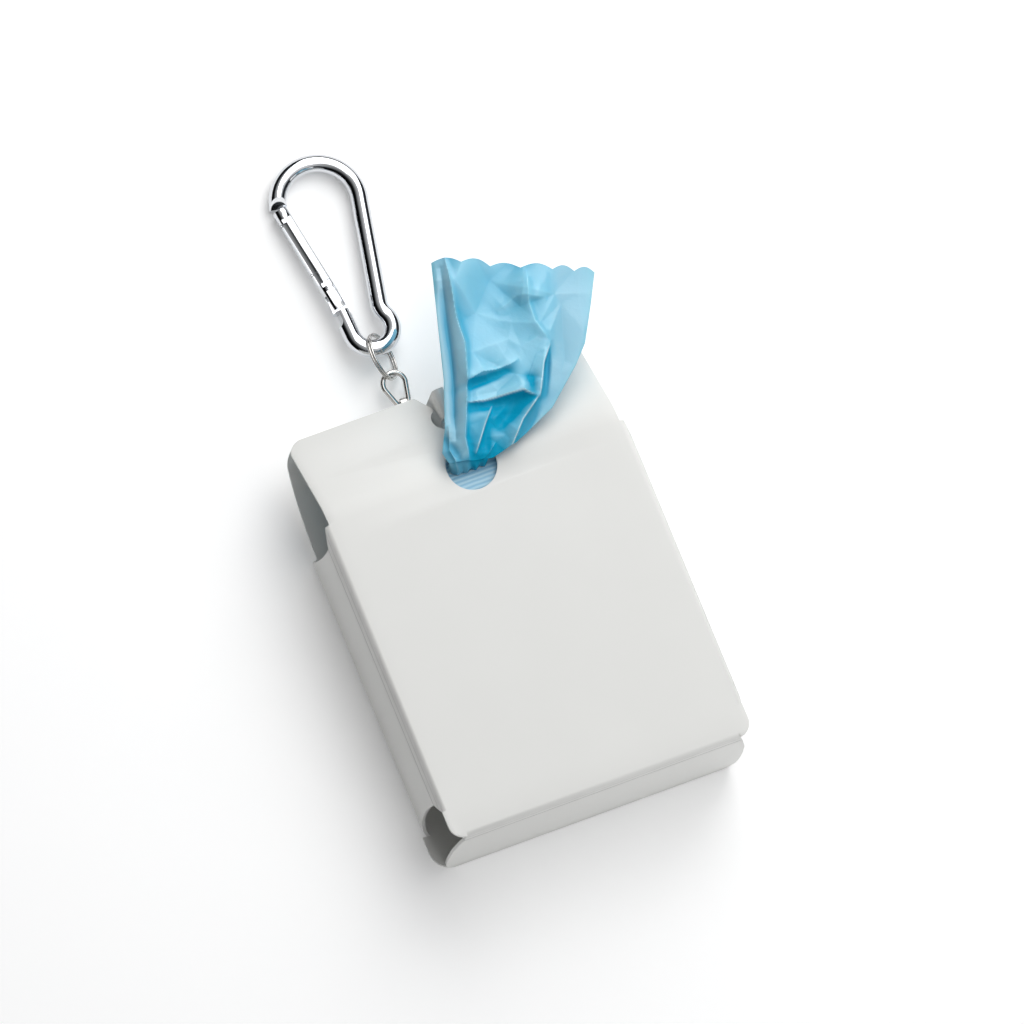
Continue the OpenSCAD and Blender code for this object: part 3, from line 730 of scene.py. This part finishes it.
        # The first half of the way round is the front layer, the second the back one
        turn = flat[:, 0] + 0.5
        front = turn <= 0.5
        side = np.where(front, turn * 2, 2 - turn * 2)
        layer = np.where(front, 1.0, -1.0)
        place, tones = self.shape(side, flat[:, 1] + 0.5, layer, self.ALONG + 1)
        mesh.vertices.foreach_set("co", (place * MM).ravel())
        for name, tone in tones.items():
            shade = mesh.attributes.new(name, "FLOAT", "POINT")
            shade.data.foreach_set("value", tone.astype(np.float32))
        mesh.update()
        outwards(piece)
        settle(piece, "leading_bag_film", polythene_film(), angle=70)
        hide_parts("leading_bag")
        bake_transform(piece)
        return {"FINISHED"}

    def edge(self, points, out):
        """Places along an edge at shares of its length."""
        points = np.array(points)
        steps = np.hypot(*np.diff(points, axis=0).T)
        keys = np.concatenate([[0], np.cumsum(steps)]) / steps.sum()
        return np.stack([np.interp(out, keys, points[:, i]) for i in (0, 1)], 1)

    def shape(self, side, share, layer, rows):
        """Places in mm and tones from 0 to 1 for points across, along and on both layers."""
        film = bpy.context.scene.film_sizes
        out = np.clip((share - self.NECK) / (1 - self.NECK), 0, 1)
        left, right = self.edge(self.LEFT, out), self.edge(self.RIGHT, out)
        plane = left + (right - left) * side[:, None]
        span = np.digitize(side, self.SCALLOPS[1:-1])
        low, high = np.array(self.SCALLOPS)[span], np.array(self.SCALLOPS)[span + 1]
        scallop = (self.SCALLOP_DEEP * np.sin(np.pi * (side - low) / (high - low))
                   * np.clip(out * 12 - 11, 0, 1))
        plane = plane + scallop[:, None] * np.array(self.SCALLOP_WAY)
        height, shade = np.zeros(len(side)), np.zeros(len(side))
        doubled, crest = np.zeros(len(side)), np.zeros(len(side))
        for order, (line, lift, soft_left, soft_right, dark) in enumerate(self.FOLDS):
            gap, on_left, taper = self.from_line(plane, line)
            if order == 0:
                strength, soft = self.LEFT_BAND
                doubled += strength / (1 + np.exp(np.where(on_left, -gap, gap) / soft))
            soft = np.where(on_left, soft_left, soft_right)
            height += lift * film.fold_height / MM * np.exp(-gap / soft) * taper
            # Painted shade on each fold's steeper side
            sharp = soft_left >= soft_right
            shade += dark * np.where(on_left == sharp, 0, np.exp(-gap / self.DARK_WIDE)) * taper
            # Painted highlight along the crests of these folds
            if order in self.CREST_FOLDS:
                thin = np.exp(-(gap / self.CREST_WIDE) ** 2)
                crest += thin * np.clip(taper * 1.3 - 0.3, 0, 1)
        for x, y, long_half, short_half, turn, strength in self.POCKETS:
            c, w = math.cos(math.radians(turn)), math.sin(math.radians(turn))
            rel = plane - (x, y)
            u, v = rel[:, 0] * c + rel[:, 1] * w, rel[:, 1] * c - rel[:, 0] * w
            pocket = strength * np.exp(-(u / long_half) ** 2 - (v / short_half) ** 2)
            shade += self.POCKET_SHADE * pocket
            height -= self.POCKET_DEEP * pocket
        strength, soft = self.RIGHT_PART
        ridge = np.interp(plane[:, 1], self.RIDGE_Y, self.RIDGE_X)
        doubled += strength / (1 + np.exp((ridge - plane[:, 0]) / soft))
        double = np.clip(doubled, 0, 1)
        facets = self.facets(plane)
        wide, tall = self.SWELL_SIZE
        swell = np.array([noise.noise(Vector((a / wide, b / tall, 3.1))) for a, b in plane])
        height += self.SWELL_HIGH * swell * np.clip(out * 2 - 0.2, 0, 1) * (1 - 0.6 * double)
        crumple = film.crumple / MM * facets * (1 - 0.55 * double)
        puff = np.sqrt(np.clip(np.sin(np.pi * side), 0, 1)) * (0.9 + 0.6 * np.sin(np.pi * out))
        # The back layer stays below the front one and follows its folds less closely
        hollow = 0.5 * np.clip(height, 0, None) * np.sin(np.pi * side)
        z = self.LIE + height + crumple + layer * 0.55 * puff - np.where(layer > 0, 0, hollow)
        middle = self.LOWEST + self.RANGE / 2
        z = self.LOWEST + self.RANGE / (1 + np.exp(-(z - middle) / self.SOFT))
        # The neck: gathered film drawn through the hole from the roll
        through = np.clip(share / self.NECK, 0, 1)
        gather = 0.16 * np.sin(side * 2 * np.pi * 4 + layer) + 0.12 * np.sin(side * 31 + 2)
        thick = np.sqrt(np.clip(1.9 * np.sin(np.pi * side), 0, 1))
        neck_x = self.NECK_LEFT + self.NECK_WIDE * side
        neck_y = self.NECK_Y + layer * (self.NECK_DEEP + gather) * thick
        neck_z = self.NECK_Z + self.NECK_RISE * through
        ease = np.clip((through - 0.5) / 0.5, 0, 1)
        ease = ease * ease * (3 - 2 * ease)
        x = neck_x * (1 - ease) + plane[:, 0] * ease
        y = neck_y * (1 - ease) + (plane[:, 1] + self.HOLE_Y) * ease
        z = neck_z * (1 - ease) + z * ease
        near_neck = np.clip(1 - out / 0.16, 0, 1)
        # Painted shade: hollows, the folds' dark sides, the pockets and the film near the neck get
        # a deeper tint than the ridges
        relief = (height + crumple).reshape(rows, -1)
        relief = (relief - self.soften(relief, 90)).ravel()
        depth = np.clip(0.8 + 0.8 * np.clip(relief, -1, 0.4) - shade - 0.4 * near_neck, 0, 1)
        # Near the hole the crushed film lies several layers deep
        lower = np.clip((11.5 - plane[:, 1]) / 3, 0, 1) * (1 - double)
        depth = np.clip(depth - 0.4 * lower, 0, 1)
        # Where the shade is painted, the doubled film also pales less
        tones = {"fold_tint_and_shade": depth, "painted_crest_highlight": np.clip(crest, 0, 1),
                 "fold_doubled": np.clip(doubled * (0.4 + 0.6 * depth), 0, 1)}
        return np.stack([x, y, z], 1), tones

    def from_line(self, plane, line):
        """Distance from a fold's line, whether a point is on its left, and a taper at its ends."""
        line = np.array(line)
        run, rise = line[-1] - line[0]
        forward = rise > 0 or run > 0 and abs(rise) < self.LEVEL
        lengths = np.hypot(*np.diff(line, axis=0).T)
        starts = np.concatenate([[0], np.cumsum(lengths)])
        best = np.full(len(plane), 1e9)
        on_left = np.zeros(len(plane), bool)
        along = np.zeros(len(plane))
        for i, (a, b) in enumerate(zip(line, line[1:])):
            way = (b - a) / lengths[i]
            rel = plane - a
            at = rel @ way
            t = np.clip(at, 0, lengths[i])
            gap = np.hypot(*(rel - t[:, None] * way).T)
            nearer = gap < best
            best = np.where(nearer, gap, best)
            cross = way[0] * rel[:, 1] - way[1] * rel[:, 0]
            on_left = np.where(nearer, (cross > 0) == forward, on_left)
            along = np.where(nearer, starts[i] + at, along)
        total = starts[-1]
        ends = np.minimum(along, total - along)
        taper = np.clip(ends / (self.TAPER * total) + self.TAPER_END, 0, 1)
        return best, on_left, taper * np.exp(np.minimum(ends, 0) / self.TAPER_FADE)

    def facets(self, plane):
        """Heights of crushed film: flat facets between sharp creases, larger farther out."""
        draw = random.Random(self.SEED)
        spots = []
        y = self.FIELD_Y[0]
        while y < self.FIELD_Y[1]:
            step = self.FACET + self.FACET_GROWTH * max(y, 0)
            x = self.FIELD_X[0]
            while x < self.FIELD_X[1]:
                spot = Vector((x + draw.uniform(-0.4, 0.4) * step,
                               y + draw.uniform(-0.5, 0.5) * step))
                spots.append((spot, draw.uniform(-0.2, 0.2) * step))
                x += step
            y += step * 1.25
        places = [spot for spot, _ in spots]
        flat, _, faces, origins, *_ = delaunay_2d_cdt(places, [], [], 0, self.MERGE)
        corners = [(spot.x, spot.y, spots[origin[0]][1]) for spot, origin in zip(flat, origins)]
        tree = BVHTree.FromPolygons(corners, faces)
        down = Vector((0, 0, -1))
        return np.array([tree.ray_cast(Vector((x, y, ABOVE)), down)[0].z for x, y in plane])

    def soften(self, field, times):
        """A height field averaged with its neighbours again and again."""
        for _ in range(times):
            wide = np.pad(field, 1, mode="edge")
            field = (wide[:-2, 1:-1] + wide[2:, 1:-1] + wide[1:-1, :-2] + wide[1:-1, 2:]) / 4
        return field


class POUCH_OT_roll(bpy.types.Operator):
    """Winds the roll of bags, with its layers showing at both ends"""
    bl_idname = "pouch.roll"
    bl_label = "Bag roll"

    # Rings of layers at both ends: how many, how wide, how far they step; core; slack, in mm
    RINGS, RING_WIDE, RING_STEP, CORE_RADIUS, SLACK = 9, 0.6, 0.16, 6.55, 0.05

    def execute(self, context):
        low, high = node_mm("bag_roll")
        radius, length = (high[1] - low[1]) / 2, high[0] - low[0]
        y, z = (low[1] + high[1]) / 2, (low[2] + high[2]) / 2
        piece = cylinder(radius - self.SLACK, length, (0, y, z), (0, math.pi / 2, 0), 180)
        bpy.ops.object.transform_apply()
        mode("EDIT")
        pick(piece, "FACE", lambda p, n: abs(n.x) > 0.9)
        for ring in range(self.RINGS):
            bpy.ops.mesh.inset(thickness=self.RING_WIDE * MM, use_even_offset=True)
            shift = self.RING_STEP if ring % 2 else -self.RING_STEP
            for face in bmesh.from_edit_mesh(piece.data).faces:
                if face.select:
                    for v in face.verts:
                        v.co.x += round(face.normal.x) * shift * MM
            bmesh.update_edit_mesh(piece.data)
        mode("OBJECT")
        cut_with(piece, cylinder(self.CORE_RADIUS, length + 4, (0, y, z),
                                 (0, math.pi / 2, 0), vertices=96))
        settle(piece, "wound_roll", wound_film(), angle=30)
        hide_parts("bag_roll")
        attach(piece, "roll")
        return {"FINISHED"}


class POUCH_OT_metal(bpy.types.Operator):
    """Finishes the carabiner's frame, pin and spring, the links and the clip with its rivet"""
    bl_idname = "pouch.metal"
    bl_label = "Carabiner and links"

    def execute(self, context):
        for name in ("carabiner_frame", "gate_pin"):
            paint(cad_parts[name], chrome_plate())
        for name in ("pear_link", "split_ring", "strap_clip", "clip_rivet"):
            paint(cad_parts[name], nickel_plate())
        for name in ("gate_spring", "gate_plunger"):
            paint(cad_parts[name], drawn_wire())
        return {"FINISHED"}


class POUCH_OT_gate(bpy.types.Operator):
    """Makes the carabiner's gate: a grooved bar with a forked, flattened hinge end"""
    bl_idname = "pouch.gate"
    bl_label = "Carabiner gate"

    # The carabiner's own frame in the part: its place in mm and its turns in degrees
    SNAP_PLACE, SNAP_PITCH, SNAP_YAW = (-4.77145, 80.8947, 4.82019), -3, -2
    # The gate in that frame: its pin's place in mm, its turn in degrees, its size in mm
    PIVOT, GATE_TURN, LENGTH, RADIUS = (-5.5, 13.2), 100.632, 25.99, 1.9
    # Cuts in its bar, in mm along it from the pin: low corner, high corner, turn in degrees
    CUTS = (
        ((-5, -5, -1.1), (2.5, 5, 1.1), 0),  # fork for the frame's tang
        ((-5, -5, 1.62), (3.4, 5, 5), 0),  # flat on one ear of the fork
        ((-5, -5, -5), (3.4, 5, -1.62), 0),  # flat on the other ear
        ((4.6, -5, 1.5), (LENGTH - 2.4, 5, 5), 0),  # flat pressed along the bar
        ((5.6, -0.3, 0.6), (LENGTH - 3.4, 1.1, 5), -24),  # groove in that flat
        ((2.9, -1.35, 0.9), (5.9, -0.3, 5), 0),  # slot of the spring's catch
        ((LENGTH - 3.9, 1.25, 0), (LENGTH - 3.2, 5, 1), 0),  # notch near the nose
        ((8.3, 1.25, 0), (9.0, 5, 1), 0),  # notch near the pin
    )

    def execute(self, context):
        piece = cylinder(self.RADIUS, self.LENGTH + 2.3, (self.LENGTH / 2 - 0.3, 0, 0),
                         (0, math.pi / 2, 0), vertices=72)
        bpy.ops.object.transform_apply()
        # Its free end is round about the pin
        cut_with(piece, cylinder(self.LENGTH, 10, (0, 0, 0), vertices=180), "INTERSECT")
        for low, high, turn in self.CUTS:
            cutter = block(low, high)
            cutter.matrix_world = Matrix.Rotation(math.radians(turn), 4, "X")
            cut_with(piece, cutter)
        ease_edges(piece, 0.1, 40)
        turn = Matrix.Rotation(math.radians(self.GATE_TURN), 4, "Z")
        place = Matrix.Translation(Vector((*self.PIVOT, 0)) * MM)
        snap = (Matrix.Translation(Vector(self.SNAP_PLACE) * MM)
                @ Matrix.Rotation(math.radians(self.SNAP_YAW), 4, "Z")
                @ Matrix.Rotation(math.radians(self.SNAP_PITCH), 4, "X"))
        piece.matrix_world = snap @ place @ turn @ piece.matrix_world
        settle(piece, "carabiner_gate", chrome_plate(), angle=30)
        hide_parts("gate_bar")
        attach(piece, "gate")
        return {"FINISHED"}


class POUCH_OT_inside(bpy.types.Operator):
    """Finishes the strap, the bonded lap and the roll's card core"""
    bl_idname = "pouch.inside"
    bl_label = "Strap, lap and core"

    def execute(self, context):
        paint(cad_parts["closing_strap"], polypropylene_sheet())
        paint(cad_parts["sleeve_lap"], polypropylene_sheet())
        paint(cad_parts["roll_core"], wound_card())
        return {"FINISHED"}


class POUCH_OT_stage(bpy.types.Operator):
    """Sets the pale table, the soft studio lights and the camera at the photo's angle"""
    bl_idname = "pouch.stage"
    bl_label = "Table, lights and camera"

    # Camera fitted to the photo: right, up and back of the view, and its place in mm
    RIGHT = (0.920176, -0.373578, 0.117115)
    UP = (0.332197, 0.903325, 0.271384)
    BACK = (-0.207176, -0.210815, 0.955319)
    PLACE = (-1027.215, -1021.650, 4785.632)
    LENS, SENSOR, NEAREST, FARTHEST = 758.668, 36.0, 0.1, 20.0
    # Side of the table, and how far it lies below the pouch, in metres
    TABLE, TABLE_GAP = 3.0, 0.0002
    # The room from the horizon to overhead, as shares of the height: dark round the horizon,
    # as behind studio soft boxes, and pale overhead
    ROOM = ((0.0, "#8C8F93"), (0.08, "#33363B"), (0.4, "#26292D"), (0.58, "#55585D"),
            (0.66, "#E6E9EC"), (0.8, "#FFFFFF"))
    # Its brightness from left to right: the left stays dim, so the left wall looks shaded
    ROOM_SIDES = {"From Min": -0.7, "From Max": 0.2, "To Min": 0.04, "To Max": 0.8}
    # Soft boxes: place in metres, side in metres, power in watts
    LAMPS = {
        "key_box": ((0.35, 0.55, 0.55), 0.7, 4.2),  # over the upper right
        "top_box": ((0.15, 0.1, 0.85), 0.6, 1.6),  # overhead
        "right_strip": ((0.6, -0.5, 0.3), 0.3, 0.3),  # low on the right, weak
        "front_box": ((0.2, -0.8, 0.3), 0.5, 1.0),  # low in front, for the bottom wall
    }
    LAMPS_AIM = (0, 0.02, 0.01)

    def execute(self, context):
        scene = context.scene
        clear_selection()
        bpy.ops.mesh.primitive_plane_add(size=self.TABLE, location=(0, 0, -self.TABLE_GAP))
        table = only(context.object)
        settle(table, "table", floor_finish())
        camera = bpy.data.cameras.new("photo_camera")
        camera.lens, camera.sensor_width = self.LENS, self.SENSOR
        camera.clip_start, camera.clip_end = self.NEAREST, self.FARTHEST
        eye = bpy.data.objects.new("photo_camera", camera)
        scene.collection.objects.link(eye)
        turn = Matrix((self.RIGHT, self.UP, self.BACK)).transposed().to_4x4()
        eye.matrix_world = Matrix.Translation(Vector(self.PLACE) * MM) @ turn
        scene.camera = eye
        scene.view_settings.view_transform = "Standard"
        world = bpy.data.worlds.new("studio")
        scene.world = world
        world.use_nodes = True
        tree = world.node_tree
        sky = tree.nodes["Background"]
        way = add_node(tree, "TexCoord")
        parts = add_node(tree, "SeparateXYZ", links={"Vector": way.outputs["Generated"]})
        room = add_node(tree, "ValToRGB", links={"Fac": parts.outputs["Z"]})
        stops = room.color_ramp.elements
        stops[0].position, stops[1].position = self.ROOM[0][0], self.ROOM[-1][0]
        for height, _ in self.ROOM[1:-1]:
            stops.new(height)
        for stop, (_, tone) in zip(stops, self.ROOM):
            stop.color = linear(tone)
        tree.links.new(room.outputs["Color"], sky.inputs["Color"])
        dim = add_node(tree, "MapRange", values=self.ROOM_SIDES,
                       links={"Value": parts.outputs["X"]})
        tree.links.new(dim.outputs["Result"], sky.inputs["Strength"])
        for name, (place, size, power) in self.LAMPS.items():
            lamp = bpy.data.lights.new(name, "AREA")
            lamp.shape, lamp.size, lamp.energy = "SQUARE", size, power
            holder = bpy.data.objects.new(name, lamp)
            scene.collection.objects.link(holder)
            aim = Vector(self.LAMPS_AIM) - Vector(place)
            holder.rotation_euler = aim.to_track_quat("-Z", "Y").to_euler()
            holder.location = place
        return {"FINISHED"}


class POUCH_PT_sidebar(bpy.types.Panel):
    """Sizes, colours and build buttons of the bag pouch"""
    bl_idname = "POUCH_PT_sidebar"
    bl_label = "Bag pouch"
    bl_space_type = "VIEW_3D"
    bl_region_type = "UI"
    bl_category = "Pouch"

    def draw(self, context):
        layout = self.layout
        for group in (getattr(context.scene, name) for name in GROUPS):
            for name in group.bl_rna.properties.keys():
                if name not in ("rna_type", "name"):
                    layout.prop(group, name)
        for operator in OPERATORS:
            layout.operator(operator.bl_idname)


OPERATORS = (POUCH_OT_stage, POUCH_OT_sheet, POUCH_OT_back, POUCH_OT_inside, POUCH_OT_roll,
             POUCH_OT_film, POUCH_OT_metal, POUCH_OT_gate)
GROUPS = {"pouch_sizes": PouchSizes, "film_sizes": FilmSizes, "pouch_colours": FinishColours}
CLASSES = (*GROUPS.values(), *OPERATORS, POUCH_PT_sidebar)


def register():
    for cls in CLASSES:
        bpy.utils.register_class(cls)
    for name, group in GROUPS.items():
        setattr(bpy.types.Scene, name, PointerProperty(type=group))


def unregister():
    for name in GROUPS:
        delattr(bpy.types.Scene, name)
    for cls in reversed(CLASSES):
        bpy.utils.unregister_class(cls)


def main():
    register()
    bpy.ops.pouch.stage()
    bpy.ops.pouch.sheet()
    bpy.ops.pouch.back()
    bpy.ops.pouch.inside()
    bpy.ops.pouch.roll()
    bpy.ops.pouch.film()
    bpy.ops.pouch.metal()
    bpy.ops.pouch.gate()


if __name__ == "__main__":
    main()
